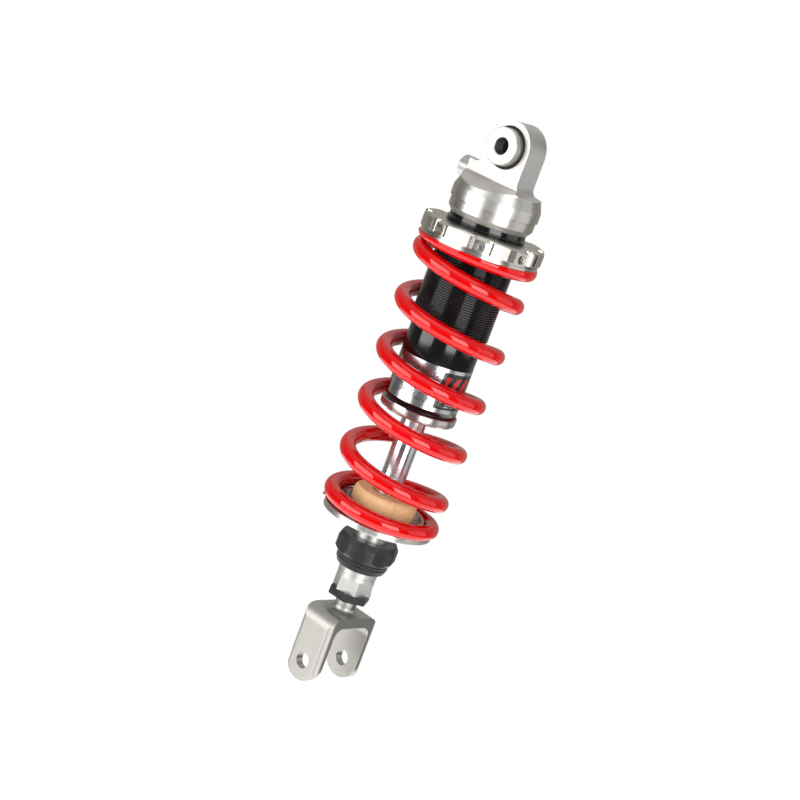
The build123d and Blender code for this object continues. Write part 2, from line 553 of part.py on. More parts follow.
BUMP_R = CUP_R - 4.2
BUMP_SHOULDER = BUMP_TOP - 7.4
with BuildPart() as bump_stop:
    with BuildSketch(Plane.XZ):
        with BuildLine():
            Polyline((ROD_WAY_R, WASHER_TOP), (BUMP_R, WASHER_TOP), (BUMP_R, BUMP_SHOULDER))
            Spline((BUMP_R, BUMP_SHOULDER), (BUMP_R - 0.5, BUMP_SHOULDER + 3.6), (BUMP_R - 2.6, BUMP_TOP))
            Polyline((BUMP_R - 2.6, BUMP_TOP), (ROD_R + 2.2, BUMP_TOP), (ROD_WAY_R, BUMP_TOP - 1.8),
                     (ROD_WAY_R, WASHER_TOP))
        make_face()
    revolve(axis=Axis.Z)
save(bump_stop.part, "bump_stop")

# ================================================================== spring
WIRE_R = WIRE_D / 2
COIL_R = SPRING_ID / 2 + WIRE_R
SPRING_TIP_AZ = FRONT_AZ - 90.0      # upper wire end, at the left of the front
SPRING_LENGTH = RING_BOTTOM - SEAT_TOP
TIP_ABOVE = 0.8                     # wire centre above the upper ground face, at the upper tip
TIP_BELOW = 2.5                     # and below the lower ground face, at the lower tip
TURNS = 7.0
# turns at which the wire starts to open, is open, starts to close and is closed again
OPENING, OPEN, CLOSING, CLOSED = 0.71, 1.157, 5.6, 6.07
UPPER_PITCH = 0.76 * WIRE_D         # pitch of the two closed ends
LOWER_PITCH = WIRE_D
OPEN_PITCH = ((SPRING_LENGTH + TIP_ABOVE + TIP_BELOW - UPPER_PITCH * (OPENING + OPEN) / 2
               - LOWER_PITCH * (TURNS - (CLOSING + CLOSED) / 2))
              / ((CLOSING + CLOSED - OPENING - OPEN) / 2))
PITCH_LAW = ((0, UPPER_PITCH), (OPENING, UPPER_PITCH), (OPEN, OPEN_PITCH), (CLOSING, OPEN_PITCH),
             (CLOSED, LOWER_PITCH), (TURNS, LOWER_PITCH))


def wire_drop(turn):
    """Depth of the wire's centre below the spring's upper face: the pitch summed up to that turn."""
    drop = -TIP_ABOVE
    for (turn_a, pitch_a), (turn_b, pitch_b) in zip(PITCH_LAW, PITCH_LAW[1:]):
        inside = min(max(turn, turn_a), turn_b) - turn_a
        pitch_end = pitch_a + (pitch_b - pitch_a) * inside / (turn_b - turn_a)
        drop += inside * (pitch_a + pitch_end) / 2
    return drop


PATH_STEPS = 12                     # path points in each turn
path_turns = [step / PATH_STEPS for step in range(round(TURNS * PATH_STEPS) + 1)]
spring_path = [polar(COIL_R, SPRING_TIP_AZ + 360 * turn, RING_BOTTOM - wire_drop(turn))
               for turn in path_turns]
GRIND_R = COIL_R + 2 * WIRE_D        # size of the cuts that grind the ends flat
GRIND_H = 2 * WIRE_D

with BuildPart() as spring:
    with BuildLine() as wire_line:
        Spline(*spring_path)
    start = wire_line.wires()[0] @ 0
    heading = wire_line.wires()[0] % 0
    with BuildSketch(Plane(origin=start, x_dir=(start.X, start.Y, 0), z_dir=heading)):
        Circle(WIRE_R)
    sweep(path=wire_line.wires()[0], is_frenet=True)
    # ends ground flat
    disc(RING_BOTTOM, RING_BOTTOM + GRIND_H, GRIND_R, Mode.SUBTRACT)
    disc(SEAT_TOP, SEAT_TOP - GRIND_H, GRIND_R, Mode.SUBTRACT)
save(spring.part, "spring")

# ================================================================== preload collar
LUGS = 8
LUG_AZ = -29.3
LUG_HALF = 9.9               # half the width of a lug at its foot
RECESS_AZ = LUG_AZ - 180 / LUGS
RECESS_R = COLLAR_R - 1.9
LUG_BOTTOM = COLLAR_BOTTOM + 1.7
LUG_ROOT_R = RECESS_R - 3.5
LUG_BEVEL_R = COLLAR_R - 0.65           # radius of the lugs' top edge
COLLAR_BORE_R = THREAD_R + BEARING_GAP
SLIT_AZ = 9.5
SLIT_W = 2.4
PINCH_R = (COLLAR_BORE_R + COLLAR_R) / 2 + 0.25
PINCH_Z = COLLAR_BOTTOM + 4.8
PINCH_SHANK_R = 2.2
PINCH_HEAD_R = 3.7
PINCH_HEAD_Y = 6.0           # seat of its head, measured from the middle of the slit
SET_R = 2.95
SET_Z = COLLAR_BOTTOM + 4.4
SET_TIP = THREAD_R + FREE
SET_FACE = RECESS_R - 0.7
with BuildPart() as preload_collar:
    with BuildSketch(Plane.XZ):
        with BuildLine():
            Polyline((COLLAR_BORE_R, COLLAR_TOP), (RECESS_R - 2.7, COLLAR_TOP),
                     (RECESS_R, COLLAR_TOP - 1.9), (RECESS_R, COLLAR_BOTTOM),
                     (COLLAR_BORE_R, COLLAR_BOTTOM), close=True)
        make_face()
    revolve(axis=Axis.Z)
    with BuildSketch(Plane.XY.offset(LUG_BOTTOM)):
        with PolarLocations(0, LUGS, start_angle=LUG_AZ):
            Polygon((LUG_ROOT_R, 0.3 - LUG_HALF), (RECESS_R - 0.8, -LUG_HALF),
                    (COLLAR_R - 0.9, 1 - LUG_HALF), (COLLAR_R - 0.3, 2.3 - LUG_HALF),
                    (COLLAR_R + 0.2, -3), (COLLAR_R + 0.2, 3),
                    (COLLAR_R - 0.3, LUG_HALF - 2.3), (COLLAR_R - 0.9, LUG_HALF - 1),
                    (RECESS_R - 0.8, LUG_HALF), (LUG_ROOT_R, LUG_HALF - 0.3), align=None)
    extrude(amount=COLLAR_TOP - LUG_BOTTOM)
    # a light chamfer round the tops of the lugs
    taper(COLLAR_TOP - 2 * WIRE_D, COLLAR_TOP, LUG_BEVEL_R + 2 * WIRE_D, LUG_BEVEL_R, Mode.INTERSECT)
    # tommy bar holes in the recesses, the one at the front threaded for the set screw
    with PolarLocations(RECESS_R - 2.0, LUGS, start_angle=RECESS_AZ):
        with Locations((0, 0, SET_Z)):
            Cylinder(SET_R, 8.0, rotation=(0, 90, 0), mode=Mode.SUBTRACT)
    with Locations(Location(polar((COLLAR_BORE_R + RECESS_R) / 2, RECESS_AZ, SET_Z), (0, 0, RECESS_AZ))):
        Cylinder(SET_R, RECESS_R - COLLAR_BORE_R + 4, rotation=(0, 90, 0), mode=Mode.SUBTRACT)
    # clamp slit, then the cross hole and counterbore of its screw
    with Locations(Location(polar(PINCH_R, SLIT_AZ, (COLLAR_TOP + COLLAR_BOTTOM) / 2), (0, 0, SLIT_AZ))):
        Box(2 * WIRE_D, SLIT_W, COLLAR_TOP - COLLAR_BOTTOM + 2, mode=Mode.SUBTRACT)
    with Locations(Location(polar(PINCH_R, SLIT_AZ, PINCH_Z), (0, 0, SLIT_AZ))):
        Cylinder(PINCH_SHANK_R, 20.0, rotation=(90, 0, 0), mode=Mode.SUBTRACT)
        with Locations((0, PINCH_HEAD_Y + 7.0, 0)):
            Cylinder(PINCH_HEAD_R + 0.2, 14.0, rotation=(90, 0, 0), mode=Mode.SUBTRACT)
save(preload_collar.part, "preload_collar")

with BuildPart() as collar_set_screw:
    with Locations(Location(polar((SET_TIP + SET_FACE) / 2, RECESS_AZ, SET_Z), (0, 0, RECESS_AZ))):
        Cylinder(SET_R, SET_FACE - SET_TIP, rotation=(0, 90, 0))
    with BuildSketch(Plane(origin=polar(SET_FACE, RECESS_AZ, SET_Z), x_dir=(0, 0, 1),
                           z_dir=polar(1, RECESS_AZ, 0))):
        RegularPolygon(1.7, 6)
    extrude(amount=-2.5, mode=Mode.SUBTRACT)
save(collar_set_screw.part, "collar_set_screw")

with BuildPart() as collar_pinch_screw:
    with Locations(Location(polar(PINCH_R, SLIT_AZ, PINCH_Z), (0, 0, SLIT_AZ))):
        Cylinder(PINCH_SHANK_R, 19.0, rotation=(90, 0, 0))
        with Locations((0, PINCH_HEAD_Y + 2.0, 0)):
            Cylinder(PINCH_HEAD_R, 4.0, rotation=(90, 0, 0))
save(collar_pinch_screw.part, "collar_pinch_screw")

RING_R = COLLAR_R - 1.0
RING_FOOT = RING_BOTTOM - 4.2           # its spigot centres the spring's upper end
with BuildPart() as upper_thrust_ring:
    disc(COLLAR_BOTTOM - PLAY, RING_BOTTOM, RING_R)
    disc(RING_BOTTOM, RING_FOOT, REGISTER_R)
    disc(COLLAR_BOTTOM, RING_FOOT, THREAD_R + FREE, Mode.SUBTRACT)
save(upper_thrust_ring.part, "upper_thrust_ring")

# ================================================================== clevis
SLOT_ROOF = CLEVIS_TOP - 6.9
SLOT_HALF = CLEVIS_W / 2 - EAR_T
SLOT_CORNER_R = 6.5
EAR_BOTTOM = CLEVIS_HOLE - EAR_W / 2
FORK_SHOULDER_R = 9.5
FORK_EDGE_R = 3.9
NECK_R = STUD_R - 1.1
NECK_FLARE_R = 10.2
STUD_TOP = STUD_HOLE_TOP - 4.0
with BuildPart() as clevis:
    # outline seen along X, with round shoulders
    with BuildSketch(Plane.YZ):
        with BuildLine():
            Line((0, CLEVIS_TOP), (CLEVIS_W / 2 - FORK_SHOULDER_R, CLEVIS_TOP))
            RadiusArc((CLEVIS_W / 2 - FORK_SHOULDER_R, CLEVIS_TOP),
                      (CLEVIS_W / 2, CLEVIS_TOP - FORK_SHOULDER_R), FORK_SHOULDER_R)
            Polyline((CLEVIS_W / 2, CLEVIS_TOP - FORK_SHOULDER_R), (CLEVIS_W / 2, EAR_BOTTOM),
                     (0, EAR_BOTTOM))
            mirror(about=Plane.YZ)
        make_face()
    extrude(amount=EAR_W / 2, both=True)
    # round ends of the ears, round vertical edges
    with BuildSketch(Plane.XZ):
        with Locations((0, CLEVIS_HOLE)):
            Circle(EAR_W / 2)
        with Locations((0, (CLEVIS_HOLE + CLEVIS_TOP) / 2)):
            Rectangle(EAR_W, CLEVIS_TOP - CLEVIS_HOLE)
    extrude(amount=CLEVIS_W, both=True, mode=Mode.INTERSECT)
    with BuildSketch(Plane.XY.offset(EAR_BOTTOM)):
        RectangleRounded(EAR_W, CLEVIS_W, FORK_EDGE_R)
    extrude(amount=CLEVIS_TOP - EAR_BOTTOM, mode=Mode.INTERSECT)
    # gap for the linkage, rounded at its roof
    with BuildSketch(Plane.YZ):
        with Locations((0, SLOT_ROOF - 1.5 * EAR_W)):
            RectangleRounded(2 * SLOT_HALF, 3 * EAR_W, SLOT_CORNER_R)
    extrude(amount=EAR_W, both=True, mode=Mode.SUBTRACT)
    with Locations((0, 0, CLEVIS_HOLE)):
        Cylinder(BOLT_BORE_R, CLEVIS_W + 2, rotation=(90, 0, 0), mode=Mode.SUBTRACT)
    # neck that flares into the fork, and the threaded stud above it
    with BuildSketch(Plane.XZ):
        with BuildLine():
            Polyline((0, CLEVIS_TOP - 1), (NECK_FLARE_R, CLEVIS_TOP - 1), (NECK_FLARE_R, CLEVIS_TOP))
            ThreePointArc((NECK_FLARE_R, CLEVIS_TOP), (NECK_R + 1.0, CLEVIS_TOP + 0.9),
                          (NECK_R, CLEVIS_TOP + 3.4))
            Polyline((NECK_R, CLEVIS_TOP + 3.4), (NECK_R, NUT_BOTTOM - 0.9), (STUD_R, NUT_BOTTOM + 0.2),
                     (STUD_R, STUD_TOP - 1.0), (STUD_R - 0.8, STUD_TOP), (0, STUD_TOP),
                     (0, CLEVIS_TOP - 1))
        make_face()
    revolve(axis=Axis.Z)
save(clevis.part, "clevis")
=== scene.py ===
# %% [markdown]
# # A motorcycle shock absorber, piece by piece
#
# This lesson dresses a finished mechanical model. The imported model gives every metal part at its
# real size, already on the body that it moves with. Blender adds what the model leaves plain: a
# real helical thread, a painted spring cut into quarter turns, foam with pores, and a finish for
# every surface.

# %% Load the frame
import json
from math import asin, cos, pi, radians, sin, sqrt

import bpy
from mathutils import Matrix, Vector


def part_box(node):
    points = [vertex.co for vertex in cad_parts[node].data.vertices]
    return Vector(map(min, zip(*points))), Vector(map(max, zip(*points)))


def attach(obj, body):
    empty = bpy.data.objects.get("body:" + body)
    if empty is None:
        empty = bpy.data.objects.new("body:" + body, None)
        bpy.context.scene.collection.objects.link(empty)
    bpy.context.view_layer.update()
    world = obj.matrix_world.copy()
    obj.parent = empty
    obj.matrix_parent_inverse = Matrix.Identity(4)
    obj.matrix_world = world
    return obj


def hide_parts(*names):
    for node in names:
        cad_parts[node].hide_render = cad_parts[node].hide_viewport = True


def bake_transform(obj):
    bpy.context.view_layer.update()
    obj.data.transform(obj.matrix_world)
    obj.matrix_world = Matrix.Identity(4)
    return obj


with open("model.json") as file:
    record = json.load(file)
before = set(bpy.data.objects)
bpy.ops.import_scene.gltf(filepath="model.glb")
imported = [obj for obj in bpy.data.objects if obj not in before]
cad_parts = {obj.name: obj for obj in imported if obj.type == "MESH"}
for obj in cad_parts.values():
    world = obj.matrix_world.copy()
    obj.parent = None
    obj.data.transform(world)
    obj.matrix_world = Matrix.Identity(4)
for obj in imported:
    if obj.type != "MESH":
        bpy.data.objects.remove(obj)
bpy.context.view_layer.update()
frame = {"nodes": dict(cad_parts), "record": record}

nodes = frame["nodes"]
scene = bpy.context.scene
MM = 0.001

# %% [markdown]
# ## The camera
#
# A long lens from a little over a metre away keeps the cylinder nearly parallel, as in product
# pictures. The camera looks slightly down, from a little to the side of the bolt, and it is rolled,
# so that the shock leans across the picture.
#
# A camera could be aimed with a Track To constraint, but a roll is then awkward. Three unit vectors
# say it all: right, up and back are the columns of the camera's matrix.

# %% Camera
LENS = 84.65
DISTANCE = 1.15415
TURN = radians(38.212)
RISE = radians(12.572)
ROLL = radians(20.396)
AIM_HEIGHT = -0.16736
AIM_SIDE = -0.01268

level_right = Vector((cos(TURN), sin(TURN), 0))
towards_camera = Vector((sin(TURN) * cos(RISE), -cos(TURN) * cos(RISE), sin(RISE)))
level_up = towards_camera.cross(level_right)
right = level_right * cos(ROLL) + level_up * sin(ROLL)
up = level_up * cos(ROLL) - level_right * sin(ROLL)

camera_data = bpy.data.cameras.new("camera")
camera_data.lens = LENS
camera_data.sensor_width = 36
camera = bpy.data.objects.new("camera", camera_data)
scene.collection.objects.link(camera)
aim = Vector((0, 0, AIM_HEIGHT)) + level_right * AIM_SIDE
place = aim + towards_camera * DISTANCE
camera.matrix_world = Matrix((right, up, towards_camera)).transposed().to_4x4()
camera.matrix_world.translation = place
scene.camera = camera
print("camera at", [round(x, 3) for x in place])

# %% [markdown]
# ## The studio
#
# Polished cylinders show their surroundings, so the studio matters as much as the finish. Two tall
# softboxes make the two long bands that run down the tube and the rod. A third stands far round to
# the right for the flanks, one hangs overhead for the tops of the coils, and a weak one behind lifts
# the rims. Between them the room is fairly dark, which keeps the black parts black.
#
# The floor is a plain pale disc well below the part, and it glows a little, so that it stays white
# without lights that would also flood the part. The world is white where the camera looks straight
# at it. In reflections it is dark near the horizon, lighter overhead, and warm behind the part.

# %% Softboxes
def softbox(name, turn_from_camera, rise, distance, width, height, power):
    """An area light that faces the middle of the spring, placed by its angles from the camera."""
    angle = TURN + radians(turn_from_camera)
    lift = radians(rise)
    away = Vector((sin(angle) * cos(lift), -cos(angle) * cos(lift), sin(lift)))
    data = bpy.data.lights.new(name, "AREA")
    data.shape = "RECTANGLE"
    data.size = width
    data.size_y = height
    data.energy = power
    light = bpy.data.objects.new(name, data)
    scene.collection.objects.link(light)
    light.location = Vector((0, 0, AIM_HEIGHT)) + away * distance
    light.rotation_euler = away.to_track_quat("Z", "Y").to_euler()
    return light


softbox("left softbox", -55, 6, 1.5, 1.25, 1.2, 19)
softbox("right softbox", 28, 6, 1.6, 0.95, 1.25, 19)
softbox("far right softbox", 86, 6, 1.8, 1.4, 1.3, 5)
softbox("overhead softbox", -10, 72, 1.5, 1.6, 1.2, 5)
softbox("rear softbox", 180, 35, 1.9, 1.5, 1.2, 1.5)
print("five softboxes")

# %% World and floor
FLOOR_Z = -0.95
FLOOR_RADIUS = 1.6
# how bright the room is at the horizon and further up: (sine of the elevation, grey)
SKY = ((0.0, 0.10), (0.20, 0.13), (0.55, 0.42), (1.0, 0.55))
WARM_BACKDROP = (0.34, 0.325, 0.29, 1)

world = bpy.data.worlds.new("studio")
scene.world = world
world.use_nodes = True
sky = world.node_tree.nodes
sky.clear()
way = sky.new("ShaderNodeTexCoord")
split = sky.new("ShaderNodeSeparateXYZ")
ramp = sky.new("ShaderNodeValToRGB")
for _ in range(2):
    ramp.color_ramp.elements.new(0.5)
for stop, (elevation, grey) in zip(ramp.color_ramp.elements, SKY):
    stop.position = elevation
    stop.color = (grey, grey, grey * 1.01, 1)
path = sky.new("ShaderNodeLightPath")
room = sky.new("ShaderNodeBackground")
bright = sky.new("ShaderNodeBackground")
bright.inputs["Color"].default_value = (1, 1, 1, 1)
pick = sky.new("ShaderNodeMixShader")
world_out = sky.new("ShaderNodeOutputWorld")
join = world.node_tree.links.new
join(way.outputs["Generated"], split.inputs[0])
join(split.outputs["Z"], ramp.inputs[0])
behind = sky.new("ShaderNodeVectorMath")
behind.operation = "DOT_PRODUCT"
behind.inputs[1].default_value = -towards_camera
backdrop = sky.new("ShaderNodeMapRange")
backdrop.interpolation_type = "SMOOTHSTEP"
backdrop.inputs["From Min"].default_value = 0.3
backdrop.inputs["From Max"].default_value = 0.8
both = sky.new("ShaderNodeMix")
both.data_type = "RGBA"
both.blend_type = "LIGHTEN"
# sockets 6 and 7 of this Mix node are its two colours
both.inputs[7].default_value = WARM_BACKDROP
join(way.outputs["Generated"], behind.inputs[0])
join(behind.outputs["Value"], backdrop.inputs["Value"])
join(backdrop.outputs["Result"], both.inputs[0])
join(ramp.outputs["Color"], both.inputs[6])
join(both.outputs[2], room.inputs["Color"])
join(path.outputs["Is Camera Ray"], pick.inputs[0])
join(room.outputs[0], pick.inputs[1])
join(bright.outputs[0], pick.inputs[2])
join(pick.outputs[0], world_out.inputs["Surface"])
scene.view_settings.view_transform = "Standard"

bpy.ops.mesh.primitive_circle_add(vertices=128, radius=FLOOR_RADIUS, fill_type="NGON",
                                  location=(0, 0, FLOOR_Z))
floor = bpy.context.object
floor.name = "floor"
print("floor at", FLOOR_Z)

# %% [markdown]
# ## Sums with sockets
#
# A pattern such as "slightly rougher where the noise is high" is a small sum. In the node editor each
# step of it is a Math node. Here one class wraps a socket, so that Python's own signs add those nodes
# and the sum stays readable. Colours and vectors have their own nodes, because a Math node would turn
# a colour grey.

# %% The socket class
class Tap:
    """One output socket of a material. Sums with it add Math nodes behind the scenes."""

    def __init__(self, finish, socket):
        self.finish = finish
        self.socket = socket

    def maths(self, operation, first, second=0.0):
        return self.finish.node("ShaderNodeMath", {"operation": operation}, {0: first, 1: second})

    def __add__(self, other):
        return self.maths("ADD", self, other)

    def __radd__(self, other):
        return self.maths("ADD", other, self)

    def __sub__(self, other):
        return self.maths("SUBTRACT", self, other)

    def __rsub__(self, other):
        return self.maths("SUBTRACT", other, self)

    def __mul__(self, other):
        return self.maths("MULTIPLY", self, other)

    def __rmul__(self, other):
        return self.maths("MULTIPLY", other, self)

    def __truediv__(self, other):
        return self.maths("DIVIDE", self, other)

    def __gt__(self, other):
        return self.maths("GREATER_THAN", self, other)

    def __lt__(self, other):
        return self.maths("LESS_THAN", self, other)

    def __abs__(self):
        return self.maths("ABSOLUTE", self)

    def sine(self):
        return self.maths("SINE", self)

    def fraction(self):
        return self.maths("FRACT", self)


# %% The material class
class Finish:
    """A material being built round one Principled shader. Constants go straight onto its sockets."""

    def __init__(self, name, **constants):
        self.material = bpy.data.materials.new(name)
        self.material.use_nodes = True
        self.tree = self.material.node_tree
        self.shader = self.tree.nodes["Principled BSDF"]
        for key, value in constants.items():
            self.shader.inputs[key.replace("_", " ")].default_value = value
        self.made = {}

    def node(self, kind, settings=None, inputs=None, output=0):
        """Adds a node: its type, its settings, and what goes into its sockets."""
        made = self.tree.nodes.new(kind)
        for key, value in (settings or {}).items():
            if key == "stops":
                for stop in range(2, len(value)):
                    made.color_ramp.elements.new(value[stop][0])
                for element, (position, colour) in zip(made.color_ramp.elements, value):
                    element.position = position
                    element.color = colour
            else:
                setattr(made, key, value)
        for key, value in (inputs or {}).items():
            if isinstance(value, Tap):
                self.tree.links.new(value.socket, made.inputs[key])
            else:
                made.inputs[key].default_value = value
        return Tap(self, made.outputs[output])

    def feed(self, **links):
        """Links what varies over the surface into the shader."""
        for key, value in links.items():
            self.tree.links.new(value.socket, self.shader.inputs[key.replace("_", " ")])
        return self.material

    def place(self):
        """Where the point is, in millimetres from the upper bolt."""
        if "place" not in self.made:
            spot = self.node("ShaderNodeTexCoord", output="Object")
            self.made["place"] = self.node("ShaderNodeVectorMath", {"operation": "SCALE"},
                                           {0: spot, "Scale": 1000.0})
        return self.made["place"]

    def axes(self):
        """The same place as three numbers."""
        if "axes" not in self.made:
            split = [self.node("ShaderNodeSeparateXYZ", {}, {0: self.place()}, output=axis)
                     for axis in "XYZ"]
            self.made["axes"] = split
        return self.made["axes"]

    def noise(self, size, detail=2.0, roughness=0.5, stretch=(1, 1, 1)):
        """Even noise with grains of about that many millimetres, from 0 to 1."""
        spot = self.node("ShaderNodeVectorMath", {"operation": "MULTIPLY"},
                         {0: self.place(), 1: tuple(part / size for part in stretch)})
        return self.node("ShaderNodeTexNoise", {}, {"Vector": spot, "Scale": 1.0, "Detail": detail,
                                                    "Roughness": roughness})

    def step(self, value, low, high, from_value=0.0, to_value=1.0):
        """A soft step of value between low and high."""
        return self.node("ShaderNodeMapRange", {"interpolation_type": "SMOOTHSTEP"},
                         {"Value": value, "From Min": low, "From Max": high, "To Min": from_value,
                          "To Max": to_value})

    def mix(self, mask, first, second):
        """One colour or another, by a mask."""
        return self.node("ShaderNodeMix", {"data_type": "RGBA"}, {0: mask, 6: first, 7: second},
                         output=2)

    def rounded(self, radius):
        """The surface's normal with its sharp edges rounded over that many millimetres."""
        return self.node("ShaderNodeBevel", {"samples": 4}, {"Radius": radius * MM})

    def edges(self, radius):
        """1 near a sharp edge and 0 on open faces: where the rounded normal leaves the true one."""
        true = self.node("ShaderNodeNewGeometry", output="Normal")
        along = self.node("ShaderNodeVectorMath", {"operation": "DOT_PRODUCT"},
                          {0: self.rounded(radius), 1: true}, output="Value")
        return self.step(1 - along, 0.02, 0.22)

    def bump(self, height, depth, normal=None):
        """A height of 0 to 1 turned into that many millimetres of relief."""
        inputs = {"Height": height, "Distance": depth * MM, "Strength": 1.0}
        if normal:
            inputs["Normal"] = normal
        return self.node("ShaderNodeBump", {}, inputs)


def colour(red, green, blue):
    """A colour given as it looks on a screen, 0 to 255, as Blender's linear light."""
    parts = [part / 255 for part in (red, green, blue)]
    return tuple(part / 12.92 if part < 0.04045 else ((part + 0.055) / 1.055) ** 2.4
                 for part in parts) + (1.0,)


# %% Floor finish
def floor_finish():
    finish = Finish("floor_white", Roughness=0.9, Specular_IOR_Level=0.1, Emission_Strength=0.8)
    tint = finish.mix(finish.noise(60), colour(250, 250, 250), colour(252, 252, 252))
    return finish.feed(Base_Color=tint, Emission_Color=tint)


floor.data.materials.append(floor_finish())
print("class and floor finish ready")

# %% [markdown]
# ## Metals
#
# Most of the silver parts are aluminium, finished in different ways. Turned parts keep the fine rings
# of the tool. The fork at the bottom is blasted, so it is dull and grainy. Polished steel is darker
# and sharper. On all of them the edges are painted a little brighter: a painted highlight along the
# edges, where they would catch the light.
#
# The rings could be real geometry, but at a tenth of a millimetre they would cost millions of faces.
# A sine of the height, used as bump, costs nothing. The edge mask comes from a Bevel node: where the
# rounded normal differs from the true one, there is an edge.

# %% Aluminium finishes
def turned_aluminium(name, bright, dull, roughness, rings=0.35, ring_depth=0.004, stretch=0.75,
                     edge_radius=0.22):
    """Lathe-cut aluminium: rings round the axis, cloudy roughness and edges painted brighter as a painted
    highlight.
    """
    finish = Finish(name, Metallic=1.0, Anisotropic=stretch, Anisotropic_Rotation=0.25)
    height = finish.axes()[2]
    cloud = finish.noise(6.0, 3.0)
    grain = finish.noise(0.25, 1.0)
    edge = finish.edges(0.35)
    # painted highlight: the edge mask lightens the colour along sharp edges
    tint = finish.mix(cloud * 0.6 + edge * 0.4, dull, bright)
    wave = (height * (2 * pi / rings) + cloud * 3.0).sine()
    rough = roughness + (cloud - 0.5) * 0.12 + (grain - 0.5) * 0.06 - edge * 0.06
    relief = finish.bump(wave * 0.35 + grain * 0.65, ring_depth, finish.rounded(edge_radius))
    return finish.feed(Base_Color=tint, Roughness=rough, Normal=relief)


def blasted_aluminium(name, bright, dull, roughness):
    """Bead-blasted and anodised aluminium: an even, dull grain."""
    finish = Finish(name, Metallic=1.0)
    cloud = finish.noise(14.0, 3.0)
    grain = finish.noise(0.30, 2.0, 0.6)
    edge = finish.edges(0.5)
    # the two sides that face along X were sawn, so they are darker
    facing = finish.node("ShaderNodeNewGeometry", output="Normal")
    sideways = finish.node("ShaderNodeSeparateXYZ", {}, {0: facing}, output="X")
    sawn = finish.step(abs(sideways), 0.95, 0.99)
    # painted highlight: the edge mask lightens the colour along sharp edges, also on the sawn faces
    tint = finish.mix(cloud * 0.5 + grain * 0.2 + edge * 0.3, dull, bright)
    tint = finish.mix(sawn * (1 - edge) * 0.8, tint, colour(98, 98, 94))
    rough = roughness + (grain - 0.5) * 0.16 + (cloud - 0.5) * 0.06 - edge * 0.08
    relief = finish.bump(grain, 0.014, finish.rounded(0.4))
    return finish.feed(Base_Color=tint, Roughness=rough, Normal=relief)


cap_silver = turned_aluminium("cap_silver", colour(224, 222, 219), colour(206, 203, 198), 0.40,
                              edge_radius=0.12)
collar_silver = turned_aluminium("collar_silver", colour(226, 223, 216), colour(204, 200, 191), 0.28,
                                 ring_depth=0.002, edge_radius=0.10)
seat_silver = turned_aluminium("seat_silver", colour(226, 225, 222), colour(208, 205, 199), 0.28,
                               edge_radius=0.15)
hexagon_silver = turned_aluminium("hexagon_silver", colour(224, 223, 221), colour(206, 204, 200), 0.36,
                                  stretch=0.0, edge_radius=0.15)
spacer_silver = turned_aluminium("spacer_silver", colour(214, 213, 211), colour(196, 194, 191), 0.40,
                                 stretch=0.0, edge_radius=0.15)
fork_silver = blasted_aluminium("fork_silver", colour(190, 188, 183), colour(176, 174, 168), 0.45)
print("aluminium finishes ready")

# %% Steels and small metals
def plain_metal(name, light, dark, roughness, grain_size=0.4, depth=0.003, metallic=1.0):
    """Steel, brass or bronze: a fine grain, a light cloud and edges painted lighter as a painted highlight.
    """
    finish = Finish(name, Metallic=metallic)
    cloud = finish.noise(5.0, 3.0)
    grain = finish.noise(grain_size, 2.0)
    edge = finish.edges(0.25)
    # painted highlight: the edge mask lightens the colour along sharp edges
    tint = finish.mix(cloud * 0.5 + edge * 0.5, dark, light)
    rough = roughness + (cloud - 0.5) * 0.1 + (grain - 0.5) * 0.08 - edge * 0.05
    relief = finish.bump(grain, depth, finish.rounded(0.15))
    return finish.feed(Base_Color=tint, Roughness=rough, Normal=relief)


def chrome_rod():
    """Hard chrome, ground and polished: very fine rings and faint clouds in the polish."""
    finish = Finish("chrome_rod", Metallic=1.0, Anisotropic=0.95, Anisotropic_Rotation=0.25)
    cloud = finish.noise(8.0, 2.0)
    fine = finish.noise(0.5, 1.0, 0.5, (0.15, 0.15, 6.0))
    tint = finish.mix(cloud, colour(224, 225, 230), colour(236, 237, 241))
    rough = 0.16 + fine * 0.05 + cloud * 0.03
    relief = finish.bump(fine, 0.0006)
    return finish.feed(Base_Color=tint, Roughness=rough, Normal=relief)


bright_steel = plain_metal("bright_steel", colour(226, 226, 228), colour(196, 196, 199), 0.25)
black_steel = plain_metal("black_steel", colour(74, 74, 77), colour(40, 40, 43), 0.34, metallic=0.7)
valve_brass = plain_metal("valve_brass", colour(214, 178, 98), colour(186, 148, 72), 0.32)
bearing_bronze = plain_metal("bearing_bronze", colour(186, 140, 92), colour(150, 108, 66), 0.38)
rod_chrome = chrome_rod()
print("steel, brass, bronze and chrome ready")

# %% [markdown]
# ## Black anodised parts, plastic, rubber and foam
#
# Hard anodising is a thin ceramic skin, so it shines like a dark glaze and not like bare metal. The
# knob and the ring under it are moulded plastic, semi-matt. Rubber is duller and slightly brown. The
# foam stop is full of small pores, which are pits in the surface, and each pit is also painted darker
# as painted shade inside it.

# %% Black finishes
def black_skin(name, dark, light, roughness, shine, grain_depth, edge_radius=0.25):
    """Black anodised metal or moulded plastic."""
    finish = Finish(name, Metallic=0.0, IOR=shine)
    cloud = finish.noise(9.0, 3.0)
    grain = finish.noise(0.35, 2.0)
    edge = finish.edges(0.3)
    # painted highlight: the edge mask lightens the black along sharp edges
    tint = finish.mix(cloud * 0.4 + edge * 0.6, dark, light)
    rough = roughness + (cloud - 0.5) * 0.08 + (grain - 0.5) * 0.08
    relief = finish.bump(grain, grain_depth, finish.rounded(edge_radius))
    return finish.feed(Base_Color=tint, Roughness=rough, Normal=relief)


